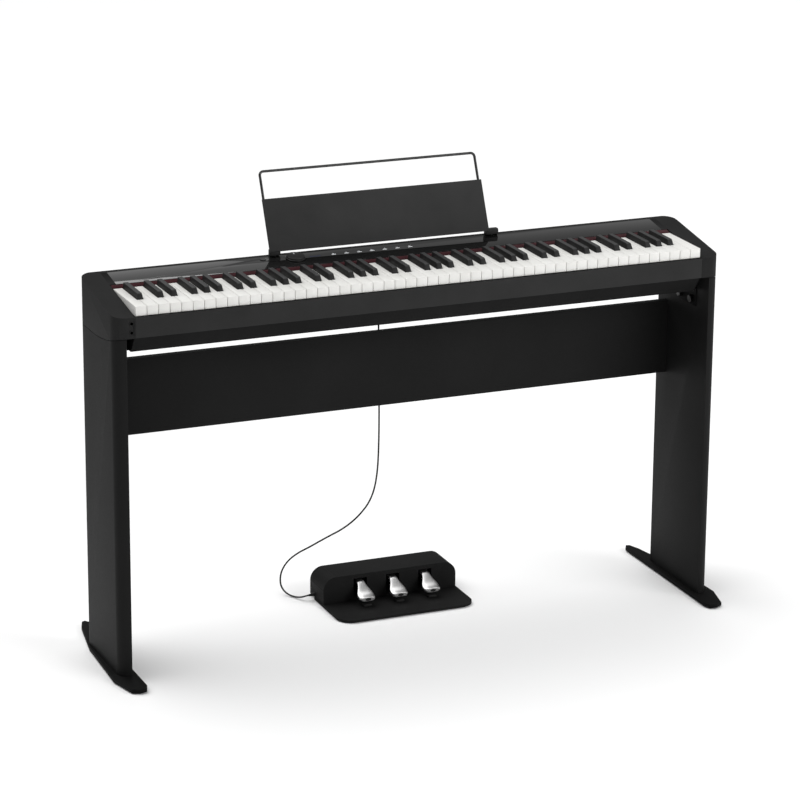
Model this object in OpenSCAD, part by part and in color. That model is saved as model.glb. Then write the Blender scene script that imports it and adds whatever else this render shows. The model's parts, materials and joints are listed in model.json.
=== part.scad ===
// Slim digital piano on a two-legged stand, with its music rest, triple pedal unit and pedal cord.
// X runs along the keyboard, treble to +X. The player sits at -Y. The floor is Z = 0.
// The origin is on the floor, midway between the tips of the stand's feet.

/* [Case] */
// Width of each cheek beside the keyboard
cheek_w = 45; // [36:1:70]
// Depth of the case, front to back
case_d = 226; // [215:1:290]
// Height of the case's side at its rear
case_h = 97; // [90:1:125]
// Fall of the top from the rear edge to the front edge
top_drop = 35; // [28:1:44]
// Radius of the case's corners seen from above
corner_r = 26; // [10:1:40]
// Rise of the cheek's underside at its front
front_rise = 20; // [8:1:26]
// Depth of the belly below the cheeks
belly_drop = 16; // [4:1:25]
// Thickness of the moulded shells
skin = 3; // [2:0.5:4]
// Distance that the case's centre sits ahead of the feet's centre
case_ahead = 17; // [0:1:40]

/* [Keyboard] */
// Pitch of the white keys
white_pitch = 23.5; // [19:0.1:30]
// Length of a white key that shows
white_len = 138; // [120:1:140]
// Length of a black cap
black_len = 91; // [80:1:95]
// Height of a black cap above the whites
black_up = 11; // [9:0.5:13]
// Width of a black key at its foot
black_w = 12; // [9:0.5:13]
// Gap between neighbouring white keys
key_gap = 0.8; // [0.6:0.1:1.4]
// Gap between a black key and the whites beside it
notch_gap = 1.2; // [0.8:0.1:1.6]
// Height of the white keys' front faces
white_front = 19.5; // [17:0.5:21]
// Radius of the rod that the keys turn on
rod_r = 2; // [1.5:0.1:2.5]
// Radial running clearance round every pivot
run_gap = 0.08; // [0.04:0.01:0.1]

/* [Controls] */
// Thickness of the gloss control panel
panel_t = 3; // [2:0.5:4]
// Distance of the control panel's ends from the cheeks
panel_in = 13; // [5:1:60]
// Diameter of the volume knob
knob_d = 40; // [20:1:46]
// Height of the volume knob
knob_h = 6; // [4:0.5:12]
// Diameter of the power button
button_d = 12; // [8:1:16]
// Travel of the power button
button_travel = 1.2; // [0.6:0.1:2]
// Distance between two touch icons
icon_pitch = 28; // [20:1:34]
// Number of touch icons
icon_count = 7; // [3:1:9]

/* [Stand] */
// Height of the legs between foot and case
leg_h = 677; // [540:1:815]
// Thickness of the legs
leg_t = 25; // [18:1:28]
// Thickness of the steel feet
foot_t = 8; // [5:0.5:12]
// Length of the feet
foot_len = 402; // [340:1:490]
// Width of the feet
foot_w = 52; // [46:1:60]
// Thickness of the pads under the feet
pad_t = 2; // [1:0.5:4]
// Height of the rear board
board_h = 158; // [120:1:190]
// Thickness of the rear board
board_t = 18; // [14:1:24]
// Height of the rear board's lower edge above the floor
board_z = 452; // [300:1:480]
// Distance of the rear board ahead of the case's back
board_in = 27; // [20:1:60]

/* [Music rest] */
// Width of the rest's plate
rest_w = 484; // [400:1:560]
// Height of the rest's plate along its slope
rest_h = 109; // [90:1:140]
// Height of the wire above the plate along its slope
wire_up = 60; // [40:1:80]
// Diameter of the wire
wire_d = 5.4; // [4:0.2:6]
// Backward lean of the rest from upright
rest_lean = 24; // [15:1:30]

/* [Pedal unit] */
// Width of the base plate
base_w = 306; // [300:1:380]
// Depth of the base plate
base_d = 186; // [175:1:220]
// Thickness of the base plate
base_t = 5; // [4:0.5:8]
// Height of the housing above the base plate
hood_h = 58; // [55:1:70]
// Depth of the housing
hood_d = 77; // [74:1:92]
// Distance between two pedals
pedal_pitch = 74; // [60:1:84]
// Width of a pedal's spoon
spoon_w = 38; // [30:1:44]
// Width of a pedal's neck
neck_w = 18; // [14:1:22]
// Radius of the pedals' axle
axle_r = 4; // [3:0.5:5]
// Diameter of the pedal cord
cord_d = 3.6; // [3:0.2:3.8]

/* [Hidden] */
$fn = 48;

touch = 0.02;         // overlap that joins two shapes of one piece
seat_gap = 1;         // gap between a leg's top and the cheek it carries
white_total = 52;
key_count = 88;
octave = 12;

half_d = case_d / 2;
keys_w = white_total * white_pitch;
inner_w = keys_w + 4;
panel_w = inner_w - 2 * panel_in;
case_w = keys_w + 2 * cheek_w;
foot_top = pad_t + foot_t;
seam_z = foot_top + leg_h;
case_top = seam_z + case_h;
belly_z = seam_z - belly_drop;
tilt = atan(top_drop / case_d);

// Y positions below are measured from the case's centre.
function top_z(y) = case_top - top_drop * (half_d - y) / case_d;
function sole_bend(y) = max(0, (30 - y) / (30 + half_d));
function sole_z(y) = seam_z + front_rise * pow(sole_bend(y), 2);

rail_t = 4;
rail_bottom = sole_z(-half_d);
rail_top = top_z(-half_d) - 0.5;
key_front = -half_d + rail_t + 1.5;
key_end = key_front + white_len;
black_front = key_end - black_len;
white_top = rail_top + 1 + white_front;
tail_bottom = white_top - 18;
panel_front = key_end + 15;
panel_back = half_d - 9;
tail_top = min(white_top - 5.5, top_z(panel_front) - panel_t - skin - 1);
bed_z = white_top - 41;
bed_t = 3;
rod_y = half_d - 20;
rod_z = white_top - 11.8;
eye_w = 9;
eye_r = 5;
key_dip = 2.8;

// ---------------------------------------------------------------- shared shapes

module at_case() {
  translate([0, -case_ahead, 0]) children();
}

module on_top(x, y) {
  translate([x, y, top_z(y)]) rotate([tilt, 0, 0]) children();
}

// A block with upright round corners.
module rounded_block(w, d, r, z0, z1) {
  translate([0, 0, z0]) linear_extrude(z1 - z0) {
    square([w - 2 * r, d], center = true);
    square([w, d - 2 * r], center = true);
    for (sx = [-1, 1], sy = [-1, 1])
      translate([sx * (w / 2 - r), sy * (d / 2 - r)]) circle(r);
  }
}

// A side profile in Y and Z, drawn out along X.
module side_slab(x0, x1, profile) {
  translate([x0, 0, 0]) rotate([90, 0, 90]) linear_extrude(x1 - x0) polygon(profile);
}

module rod_x(x0, x1, y, z, r) {
  translate([x0, y, z]) rotate([0, 90, 0]) cylinder(h = x1 - x0, r = r);
}

module rod_y(x, y0, y1, z, r) {
  translate([x, y0, z]) rotate([-90, 0, 0]) cylinder(h = y1 - y0, r = r);
}

module flip_if(left) {
  if (left) mirror([1, 0, 0]) children();
  else children();
}

// ---------------------------------------------------------------- case

sole_steps = 8;
cheek_profile = concat(
  [for (i = [0 : sole_steps]) let (y = half_d - i * case_d / sole_steps) [y, sole_z(y)]],
  [[-half_d, top_z(-half_d)], [half_d, case_top]]
);

module cheek(left) {
  flip_if(left) intersection() {
    rounded_block(case_w, case_d, corner_r, seam_z - 5, case_top + 5);
    side_slab(inner_w / 2, case_w / 2 + 1, cheek_profile);
  }
}

jack_rise = 25;
jack_z = seam_z + jack_rise;
phone_x = -inner_w / 2 - 8;
phone_z = [rail_bottom + 12, rail_bottom + 30];
jack_r = 3.25;
jack_depth = 14;
bush_r = 4.6;

module cheek_left() {
  color([0.16, 0.16, 0.17]) at_case() difference() {
    cheek(true);
    for (z = phone_z) rod_y(phone_x, -half_d - 1, -half_d + 24, z, bush_r);
  }
}

module cheek_right() {
  color([0.16, 0.16, 0.17]) at_case() cheek(false);
}

speaker_in = 172;
speaker_x = inner_w / 2 - speaker_in;
speaker_r = 45;
grille_count = 9;
grille_pitch = 9;

module lower_case() {
  x1 = inner_w / 2;
  y_back = half_d - 5;
  shell = [
    [-half_d + 7, rail_bottom], [-half_d + 33, belly_z], [y_back, belly_z],
    [y_back, belly_z + 24], [y_back - skin, belly_z + 24],
    [y_back - skin, belly_z + skin], [-half_d + 34, belly_z + skin],
    [-half_d + 7, rail_bottom + skin + 1]
  ];
  end_plate = [
    [-half_d + 7, rail_bottom], [-half_d + 33, belly_z], [y_back, belly_z],
    [y_back, belly_z + 24], [-half_d + 7, rail_bottom + 5]
  ];
  color([0.13, 0.13, 0.14]) at_case() difference() {
    union() {
      side_slab(-x1, x1, shell);
      side_slab(-x1, -x1 + skin, end_plate);
      side_slab(x1 - skin, x1, end_plate);
    }
    for (side = [-1, 1], i = [0 : grille_count - 1])
      translate([
        side * speaker_x - 35, (i - (grille_count - 1) / 2) * grille_pitch - 1.5, belly_z - 1
      ]) cube([70, 3, skin + 2]);
  }
}

rest_x = -16;
foot_block = [[-256, 22], [220, 28]];   // left edge and width of each foot block
rest_foot_y = half_d - 8;
peg_r = 3;
peg_gap = 0.3;
rest_foot_x = [for (b = foot_block) b[0] + b[1] / 2];
jack_plate_w = 176;
jack_plate_h = 24;

module peg_holes() {
  for (x = rest_foot_x)
    translate([x, rest_foot_y, case_top - 30]) cylinder(h = 40, r = peg_r + peg_gap);
}

module top_shell() {
  x1 = inner_w / 2;
  under = panel_t + skin;
  profile = [
    [half_d, seam_z], [half_d, case_top], [panel_back, top_z(panel_back)],
    [panel_back, top_z(panel_back) - panel_t], [panel_front, top_z(panel_front) - panel_t],
    [panel_front, top_z(panel_front) - under],
    [half_d - skin, top_z(half_d - skin) - under], [half_d - skin, seam_z]
  ];
  filler = [
    [panel_back + touch, top_z(panel_back)], [panel_front, top_z(panel_front)],
    [panel_front, top_z(panel_front) - panel_t - touch],
    [panel_back + touch, top_z(panel_back) - panel_t - touch]
  ];
  color([0.16, 0.16, 0.17]) at_case() difference() {
    union() {
      side_slab(-x1, x1, profile);
      side_slab(-x1, -panel_w / 2, filler);
      side_slab(panel_w / 2, x1, filler);
    }
    peg_holes();
    on_top(knob_x, knob_y) translate([0, 0, -20]) cylinder(h = 30, r = 5);
    on_top(button_x, button_y) translate([0, 0, -20]) cylinder(h = 30, r = 5);
    translate([-jack_plate_w / 2 + jack_mid, half_d - skin - 1, jack_z - jack_plate_h / 2])
      cube([jack_plate_w, skin + 2, jack_plate_h]);
    for (side = [-1, 1], i = [0 : 11])
      translate([side * speaker_x + (i - 6) * 9, half_d - skin - 1, seam_z + 34])
        cube([3, skin + 2, 26]);
  }
}

knob_x = -208;
knob_y = (panel_front + panel_back) / 2 + 9;
button_x = -275;
button_y = knob_y + 9;
shaft_r = 3;
encoder_d = min(14, top_z(knob_y) - tail_top - 1.9);

module control_panel() {
  profile = [
    [panel_back, top_z(panel_back)], [panel_front, top_z(panel_front)],
    [panel_front, top_z(panel_front) - panel_t], [panel_back, top_z(panel_back) - panel_t]
  ];
  color([0.07, 0.07, 0.08]) at_case() difference() {
    side_slab(-panel_w / 2 + 0.3, panel_w / 2 - 0.3, profile);
    on_top(knob_x, knob_y) translate([0, 0, -20]) cylinder(h = 30, r = shaft_r + run_gap);
    on_top(button_x, button_y) translate([0, 0, -20])
      cylinder(h = 30, r = button_d / 2 + 0.3);
    peg_holes();
  }
}

module front_rail() {
  profile = [
    [-half_d, rail_bottom], [-half_d, rail_top], [-half_d + rail_t, rail_top],
    [-half_d + rail_t, rail_bottom + 4], [-half_d + 7, rail_bottom + 4],
    [-half_d + 7, rail_bottom]
  ];
  color([0.18, 0.18, 0.19]) at_case() side_slab(-inner_w / 2, inner_w / 2, profile);
}

module key_felt() {
  profile = [
    [key_end + 1.5, white_top - 4], [panel_front, white_top - 4],
    [panel_front, top_z(panel_front) - 0.8], [key_end + 1.5, white_top + 0.5]
  ];
  color([0.45, 0.05, 0.12]) at_case() side_slab(-keys_w / 2, keys_w / 2, profile);
}

module key_bed() {
  x1 = inner_w / 2 - skin - 0.5;
  y0 = -half_d + 9;
  y1 = half_d - 9;
  color([0.3, 0.31, 0.32]) at_case() union() {
    translate([-x1, y0, bed_z]) cube([2 * x1, y1 - y0, bed_t]);
    for (side = [-1, 1], x = [230, inner_w / 2 - 257, inner_w / 2 - 20])
      translate([side * x - 2, -half_d + 40, belly_z + skin])
        cube([4, case_d - 60, bed_z - belly_z - skin + touch]);
  }
}

module stop_felt() {
  color([0.2, 0.35, 0.22]) at_case()
    translate([-keys_w / 2, key_front + 3, bed_z + bed_t])
      cube([keys_w, 14, white_top - white_front - 11 - bed_z - bed_t]);
}

// ---------------------------------------------------------------- keys

function has_key(k) = k >= 0 && k < key_count;
function is_black(k) = [0, 1, 0, 0, 1, 0, 1, 0, 0, 1, 0, 1][k % octave] == 1;
function white_edge(k) = floor(k / octave) * 7 + [0, 1, 1, 2, 3, 3, 4, 4, 5, 6, 6, 7][k % octave];
function black_shift(k) =
  [0, 0.11, 0, 0, -0.095, 0, 0.095, 0, 0, -0.11, 0, 0][k % octave] * white_pitch;
function edge_x(k) = -keys_w / 2 + white_edge(k) * white_pitch;
function black_x(k) = edge_x(k) + black_shift(k);
function black_beside(k) = has_key(k) && is_black(k);

// The X range of a white key's tail, beside its black neighbours.
function tail_x0(k) = black_beside(k - 1)
  ? black_x(k - 1) + black_w / 2 + notch_gap : edge_x(k) + key_gap / 2;
function tail_x1(k) = black_beside(k + 1)
  ? black_x(k + 1) - black_w / 2 - notch_gap : edge_x(k) + white_pitch - key_gap / 2;

// A key's narrow rear end, with its bore on the rod.
module key_eye(x) {
  difference() {
    union() {
      translate([x - eye_w / 2, rod_y - 12, tail_bottom])
        cube([eye_w, 12, tail_top - tail_bottom]);
      rod_x(x - eye_w / 2, x + eye_w / 2, rod_y, rod_z, eye_r);
    }
    rod_x(x - eye_w, x + eye_w, rod_y, rod_z, rod_r + run_gap);
  }
}

module white_key(k) {
  x0 = edge_x(k) + key_gap / 2;
  x1 = edge_x(k) + white_pitch - key_gap / 2;
  notch_y = black_front - notch_gap;
  tx0 = tail_x0(k);
  tx1 = tail_x1(k);
  union() {
    translate([x0, key_front, white_top - white_front])
      cube([x1 - x0, notch_y - key_front, white_front]);
    translate([tx0, notch_y - touch, tail_bottom])
      cube([tx1 - tx0, key_end - notch_y + touch, white_top - tail_bottom]);
    translate([tx0, key_end - touch, tail_bottom])
      cube([tx1 - tx0, rod_y - 12 - key_end + 2 * touch, tail_top - tail_bottom]);
    key_eye((tx0 + tx1) / 2);
  }
}

cap_profile = [
  [black_front, white_top - touch], [black_front + 5.5, white_top + black_up - 1.2],
  [black_front + 8, white_top + black_up], [key_end, white_top + black_up],
  [key_end, white_top - touch]
];

module black_key(k) {
  x = black_x(k);
  half = black_w / 2;
  union() {
    translate([x - half, black_front, tail_bottom])
      cube([black_w, key_end - black_front, white_top - tail_bottom]);
    intersection() {
      side_slab(x - half, x + half, cap_profile);
      translate([x, key_end + 1, 0]) rotate([90, 0, 0]) linear_extrude(black_len + 2)
        polygon([
          [-half, white_top - 1], [half, white_top - 1],
          [half - 1.2, white_top + black_up], [-half + 1.2, white_top + black_up]
        ]);
    }
    translate([x - half, key_end - touch, tail_bottom])
      cube([black_w, rod_y - 12 - key_end + 2 * touch, tail_top - tail_bottom]);
    key_eye(x);
  }
}

// Every key of one name, such as each C.
module key_set(first) {
  black = is_black(first);
  color(black ? [0.12, 0.12, 0.13] : [0.96, 0.96, 0.94]) at_case()
    for (k = [first : octave : key_count - 1]) {
      if (black) black_key(k);
      else white_key(k);
    }
}

octave_starts = [for (k = [3 : octave : key_count - 1]) k];

module hinge_rail() {
  base_z = bed_z + bed_t;
  y0 = rod_y - 8;
  color([0.35, 0.36, 0.38]) at_case() difference() {
    union() {
      translate([-inner_w / 2 + 6, y0, base_z]) cube([inner_w - 12, 15, 8]);
      for (k = octave_starts)
        translate([edge_x(k) - 1, y0, base_z + 8 - touch]) cube([2, 15, rod_z - base_z]);
      for (side = [-1, 1])
        translate([side * (inner_w / 2 - 4.2) - 1, y0, base_z + 4])
          cube([2, 15, rod_z - base_z]);
    }
    rod_x(-inner_w, inner_w, rod_y, rod_z, rod_r + 0.02);
  }
}

module hinge_rod() {
  color([0.7, 0.71, 0.72]) at_case()
    rod_x(-inner_w / 2 + 1, inner_w / 2 - 1, rod_y, rod_z, rod_r);
}

// ---------------------------------------------------------------- controls and electronics

module volume_knob() {
  color([0.1, 0.1, 0.11]) at_case() on_top(knob_x, knob_y) union() {
    translate([0, 0, 0.4]) cylinder(h = 2, r = knob_d / 2);
    translate([0, 0, 2.4 - touch]) cylinder(h = knob_h - 2.4, r = knob_d / 2 - 1.2);
    translate([0, 0, -10]) cylinder(h = 11, r = shaft_r);
  }
}

module knob_encoder() {
  color([0.3, 0.32, 0.3]) at_case() on_top(knob_x, knob_y) difference() {
    translate([-8, -8, -encoder_d])
      cube([16, 16, encoder_d - (panel_t + skin) * cos(tilt)]);
    translate([0, 0, -12]) cylinder(h = 10, r = shaft_r + run_gap);
  }
}

module power_button() {
  color([0.1, 0.1, 0.11]) at_case() on_top(button_x, button_y) union() {
    translate([0, 0, 1.4 - panel_t]) cylinder(h = panel_t - 0.4, r = button_d / 2);
    translate([0, 0, -8]) cylinder(h = 7, r = 2.5);
  }
}

icon_x = -125;
icon_r = 2;

module touch_icons() {
  color([0.9, 0.92, 0.95]) at_case()
    for (i = [0 : icon_count - 1])
      on_top(icon_x + i * icon_pitch, knob_y) cylinder(h = 0.3, r = icon_r);
}

module status_lamp() {
  color([0.35, 0.45, 0.75]) at_case() on_top(knob_x + 42, knob_y)
    translate([-12, -1.5, 0]) cube([24, 3, 0.3]);
}

jack_mid = -8;
line_out_x = [16, 42];
pedal_jack_x = -10;
power_in_x = -64;
power_in_r = 2.9;

module main_board() {
  z = belly_z + skin + 14;
  color([0.1, 0.32, 0.16]) at_case() union() {
    translate([-150, -20, z]) cube([300, 112, 1.6]);
    for (x = [-140, 140], y = [-12, 84])
      translate([x, y, belly_z + skin]) cylinder(h = 14 + touch, r = 3);
    translate([-70, 10, z + 1.6 - touch]) cube([34, 34, 3]);
    translate([20, 5, z + 1.6 - touch]) cube([50, 24, 5]);
    for (x = [95, 115]) translate([x, 40, z + 1.6 - touch]) cylinder(h = 14, r = 6);
  }
}

module speaker(side) {
  color([0.2, 0.2, 0.22]) at_case() translate([side * speaker_x, 0, belly_z + skin])
    rotate_extrude() polygon([
      [0, 14], [12, 14], [34, 3], [38, 3], [38, 0], [speaker_r, 0], [speaker_r, 5],
      [36, 8], [22, 20], [22, 34], [0, 34]
    ]);
}

module bush(x, y0, y1, z, r, bore_r, depth) {
  difference() {
    rod_y(x, y0, y1, z, r);
    rod_y(x, y0 < 0 ? y0 - 1 : y1 - depth, y0 < 0 ? y0 + depth : y1 + 1, z, bore_r);
  }
}

module headphone_jacks() {
  color([0.22, 0.22, 0.23]) at_case()
    for (z = phone_z)
      bush(phone_x, -half_d - 0.4, -half_d + 23, z, bush_r - 0.05, jack_r, jack_depth);
}

module jack_plate() {
  color([0.12, 0.12, 0.13]) at_case() difference() {
    translate([
      -jack_plate_w / 2 + jack_mid + 0.2, half_d - skin, jack_z - jack_plate_h / 2 + 0.2
    ]) cube([jack_plate_w - 0.4, skin, jack_plate_h - 0.4]);
    for (x = concat(line_out_x, [pedal_jack_x, power_in_x]))
      rod_y(x, half_d - 10, half_d + 2, jack_z, bush_r);
  }
}

module rear_jacks() {
  color([0.6, 0.6, 0.62]) at_case() {
    for (x = concat(line_out_x, [pedal_jack_x]))
      bush(x, half_d - 18, half_d + 1.5, jack_z, bush_r - 0.05, jack_r, jack_depth);
    bush(power_in_x, half_d - 16, half_d + 0.5, jack_z, bush_r - 0.05, power_in_r, 10);
  }
}

// ---------------------------------------------------------------- music rest

rest_y = half_d - 16;
rest_z = case_top + 9;
plate_t = 3;

// Places a child in the leaning plane: X across, Z up the slope, Y = 0 at the plate's front.
module leaning() {
  translate([rest_x, rest_y, rest_z]) rotate([-rest_lean, 0, 0]) children();
}

module rest_plate() {
  color([0.2, 0.2, 0.21]) at_case() leaning()
    translate([-rest_w / 2, 0, 0]) cube([rest_w, plate_t, rest_h]);
}

wire_r = wire_d / 2;
bend_r = 8;
wire_foot = 2;
block_up = 2.5;
block_d = 12;

// Wire behind the plate: two uprights, a top bar and round corners.
module rest_wire() {
  half = rest_w / 2 - 5;
  top = rest_h + wire_up - wire_r;
  color([0.08, 0.08, 0.09]) at_case() leaning() translate([0, plate_t + wire_r + touch, 0]) union() {
    for (side = [-1, 1]) {
      translate([side * half, 0, wire_foot])
        cylinder(h = top - bend_r - wire_foot, r = wire_r);
      translate([side * (half - bend_r), 0, top - bend_r])
        rotate([90, 0, 0]) rotate([0, 0, side > 0 ? 0 : 90])
          rotate_extrude(angle = 90) translate([bend_r, 0]) circle(wire_r);
    }
    translate([-half + bend_r, 0, top]) rotate([0, 90, 0])
      cylinder(h = 2 * (half - bend_r), r = wire_r);
  }
}

// Each block carries the plate's back face and the foot of the wire, on a peg in the case.
module rest_feet() {
  s = sin(rest_lean);
  c = cos(rest_lean);
  y_low = rest_y + plate_t * c + touch;
  z_low = rest_z - plate_t * s;
  profile = [
    [y_low, case_top], [rest_y + 3 + block_d, case_top], [rest_y + 3 + block_d, rest_z + block_up],
    [y_low + (rest_z + block_up - z_low) * s / c, rest_z + block_up], [y_low, z_low]
  ];
  color([0.09, 0.09, 0.1]) at_case()
    for (b = foot_block) union() {
      side_slab(b[0], b[0] + b[1], profile);
      translate([b[0] + b[1] / 2, rest_foot_y, case_top - 12]) cylinder(h = 13, r = peg_r);
    }
}

// ---------------------------------------------------------------- stand

leg_x = case_w / 2 - leg_t;
leg_d = case_d - 2;
leg_profile = concat(
  [for (i = [0 : sole_steps])
    let (y = half_d - i * case_d / sole_steps) [y, sole_z(y) - seat_gap]],
  [[-half_d, foot_top], [half_d, foot_top]]
);

module leg(left) {
  color([0.1, 0.1, 0.11]) at_case() flip_if(left) intersection() {
    rounded_block(case_w, leg_d, corner_r - 1, 0, case_top);
    side_slab(leg_x, case_w / 2 + 1, leg_profile);
  }
}

foot_inner = case_w / 2 - 38;
foot_outer = foot_inner + foot_w;
half_foot = foot_len / 2;

module foot_plan() {
  polygon([
    [foot_inner, -half_foot + 20], [foot_inner + 6, -half_foot + 3],
    [foot_inner + 20, -half_foot], [foot_inner + 36, -half_foot + 8],
    [foot_outer, -half_foot + 74], [foot_outer - 8, half_foot - 146],
    [foot_inner + 24, half_foot - 30], [foot_inner + 15, half_foot - 3],
    [foot_inner + 7, half_foot], [foot_inner, half_foot - 12]
  ]);
}

module foot(left) {
  color([0.09, 0.09, 0.1]) flip_if(left) translate([0, 0, pad_t])
    linear_extrude(foot_t) foot_plan();
}

module foot_pads() {
  color([0.05, 0.05, 0.05])
    for (side = [-1, 1], y = [-half_foot + 28, -20, half_foot - 52])
      translate([side * (foot_inner + 16), y, 0]) cylinder(h = pad_t, r = 9);
}

board_y = half_d - board_in - board_t;

module rear_board() {
  color([0.13, 0.13, 0.14]) at_case()
    translate([-leg_x, board_y, board_z]) cube([2 * leg_x, board_t, board_h]);
}

bracket_y = -60;
bracket_l = 80;
plate = 2.5;

module bracket(left) {
  x0 = leg_x - 48;
  color([0.12, 0.12, 0.13]) at_case() flip_if(left) difference() {
    union() {
      translate([leg_x - plate, bracket_y, belly_z - 40]) cube([plate, bracket_l, 40]);
      translate([x0, bracket_y, belly_z - plate]) cube([48, bracket_l, plate]);
    }
    for (y = [bracket_y + 15, bracket_y + bracket_l - 15]) {
      rod_x(leg_x - 10, leg_x + 10, y, belly_z - 26, 3.1);
      translate([x0 + 14, y, belly_z - 10]) cylinder(h = 20, r = 3.1);
    }
  }
}

// Screws through the two brackets: thumb screws into the legs, flat ones up into the case.
module stand_screws() {
  x0 = leg_x - 48;
  color([0.35, 0.35, 0.36]) at_case()
    for (side = [-1, 1], y = [bracket_y + 15, bracket_y + bracket_l - 15])
      scale([side, 1, 1]) {
        rod_x(leg_x - plate - 8, leg_x - plate, y, belly_z - 26, 8);
        rod_x(leg_x - plate - 1, leg_x, y, belly_z - 26, 3);
        translate([x0 + 14, y, belly_z - plate - 3]) cylinder(h = 3, r = 6);
        translate([x0 + 14, y, belly_z - plate - 1]) cylinder(h = plate + 1, r = 3);
      }
}

// ---------------------------------------------------------------- pedal unit

unit_x = 22;
unit_back = 188;
base_pad = 1.5;
base_z = base_pad;
base_top = base_z + base_t;
base_y = unit_back - base_d / 2;
hood_front = unit_back - hood_d;
hood_wall = 3;
hood_top = base_top + hood_h;

module pedal_base() {
  color([0.1, 0.1, 0.11]) translate([unit_x, base_y, 0])
    rounded_block(base_w, base_d, 34, base_z, base_top);
}

module base_pads() {
  color([0.05, 0.05, 0.05])
    for (sx = [-1, 1], sy = [-1, 1])
      translate([unit_x + sx * (base_w / 2 - 26), base_y + sy * (base_d / 2 - 24), 0])
        cylinder(h = base_pad, r = 10);
}

hood_r = 28;
hood_in = 1.5;        // distance of the hood's ends from the base plate's ends

// The hood seen from the front: upright ends and round upper corners.
module hood_outline(inset) {
  w = base_w - 2 * hood_in - 2 * inset;
  h = hood_h - inset;
  r = hood_r - inset;
  translate([-w / 2, -inset]) square([w, h - r + inset]);
  translate([r - w / 2, -inset]) square([w - 2 * r, h + inset]);
  for (side = [-1, 1]) translate([side * (w / 2 - r), h - r]) circle(r);
}

module hood_form(inset) {
  translate([unit_x, unit_back - inset, base_top]) rotate([90, 0, 0])
    linear_extrude(hood_d - 2 * inset) hood_outline(inset);
}

pedal_mid = 28;
function pedal_x(i) = pedal_mid + (i - 1) * pedal_pitch;
axle_y = unit_back - 24;
axle_z = base_top + 33;
slot_w = neck_w + 12;
slot_z0 = base_top + 4;
slot_z1 = hood_top - 9;

gland_y = unit_back - 12;
gland_z = 12;

module pedal_hood() {
  color([0.12, 0.12, 0.13]) difference() {
    hood_form(0);
    hood_form(hood_wall);
    for (i = [0 : 2])
      translate([pedal_x(i) - slot_w / 2, hood_front - 5, slot_z0])
        cube([slot_w, 22, slot_z1 - slot_z0]);
    rod_x(unit_x - base_w / 2, unit_x - base_w / 2 + 40, gland_y - 14, gland_z, 4.2);
  }
}

tip_y = hood_front - 46;
tip_r = 9;
tip_len = 17;
neck_top = base_top + 45;
tip_top = base_top + 22;
tip_low = base_top + 12.5;
pedal_t = 8;

// A pedal: an eye on the axle, a straight neck and a spoon that widens to a blunt tip.
module pedal(i) {
  x = pedal_x(i);
  side = [
    [axle_y, axle_z + 7], [hood_front, neck_top], [tip_y + tip_len, tip_top + 4],
    [tip_y + 6, tip_top + 0.5], [tip_y + 2, tip_top - 1], [tip_y, tip_top - 3.5],
    [tip_y, tip_low + 1], [tip_y + 1.5, tip_low], [tip_y + tip_len - 3, tip_low],
    [hood_front, neck_top - pedal_t], [axle_y, axle_z - 7]
  ];
  color([0.78, 0.79, 0.8]) difference() {
    union() {
      intersection() {
        side_slab(x - spoon_w, x + spoon_w, side);
        translate([x, 0, 0]) linear_extrude(hood_top) {
          translate([-neck_w / 2, tip_y + 30]) square([neck_w, axle_y - tip_y]);
          for (s = [-1, 1]) translate([s * (spoon_w / 2 - tip_r), tip_y + tip_r]) circle(tip_r);
          translate([tip_r - spoon_w / 2, tip_y]) square([spoon_w - 2 * tip_r, 2 * tip_r]);
          polygon([
            [-spoon_w / 2, tip_y + tip_r], [spoon_w / 2, tip_y + tip_r],
            [spoon_w / 2, tip_y + tip_len], [neck_w / 2 + 2, hood_front - 14],
            [neck_w / 2, hood_front - 6], [-neck_w / 2, hood_front - 6],
            [-neck_w / 2 - 2, hood_front - 14], [-spoon_w / 2, tip_y + tip_len]
          ]);
        }
      }
      rod_x(x - neck_w / 2, x + neck_w / 2, axle_y, axle_z, 8);
    }
    rod_x(x - neck_w, x + neck_w, axle_y, axle_z, axle_r + run_gap);
  }
}

bracket_span = pedal_pitch * 1.5;

module pedal_axle() {
  color([0.7, 0.71, 0.72])
    rod_x(pedal_mid - bracket_span, pedal_mid + bracket_span, axle_y, axle_z, axle_r);
}

module pedal_bracket() {
  color([0.4, 0.41, 0.42]) difference() {
    for (x = [-bracket_span + 6, -pedal_pitch / 2, pedal_pitch / 2, bracket_span - 6])
      translate([pedal_mid + x - 1.5, axle_y - 9, base_top])
        cube([3, 18, axle_z - base_top + 9]);
    rod_x(pedal_mid - 200, pedal_mid + 200, axle_y, axle_z, axle_r + 0.02);
  }
}

stop_h = 5;

module pedal_stops() {
  color([0.07, 0.07, 0.07])
    for (i = [0 : 2])
      translate([pedal_x(i) - 9, tip_y + 2, base_top]) cube([18, 12, stop_h]);
}

// ---------------------------------------------------------------- pedal cord

exit_x = unit_x - base_w / 2 - 11;
exit_y = gland_y - 14;

module cord_gland() {
  color([0.05, 0.05, 0.05]) union() {
    rod_x(exit_x + 5, exit_x + 30, exit_y, gland_z, 4.1);
    translate([exit_x, exit_y, gland_z]) rotate([0, 90, 0])
      cylinder(h = 5 + touch, r1 = 2.6, r2 = 4.1);
  }
}

plug_y = half_d - case_ahead + 9.5;
plug_x = pedal_jack_x;
cord_top = jack_z - 32;

// Right-angle plug: a pin in the jack, a body, and a sleeve that points down.
module pedal_plug() {
  y_face = half_d - case_ahead + 1.5;
  color([0.06, 0.06, 0.06]) union() {
    rod_y(plug_x, y_face - 13, y_face + 1, jack_z, 3.1);
    rod_y(plug_x, y_face, y_face + 15, jack_z, 6);
    translate([plug_x, plug_y, cord_top]) cylinder(h = jack_z - cord_top, r1 = 3, r2 = 4.8);
  }
}

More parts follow.
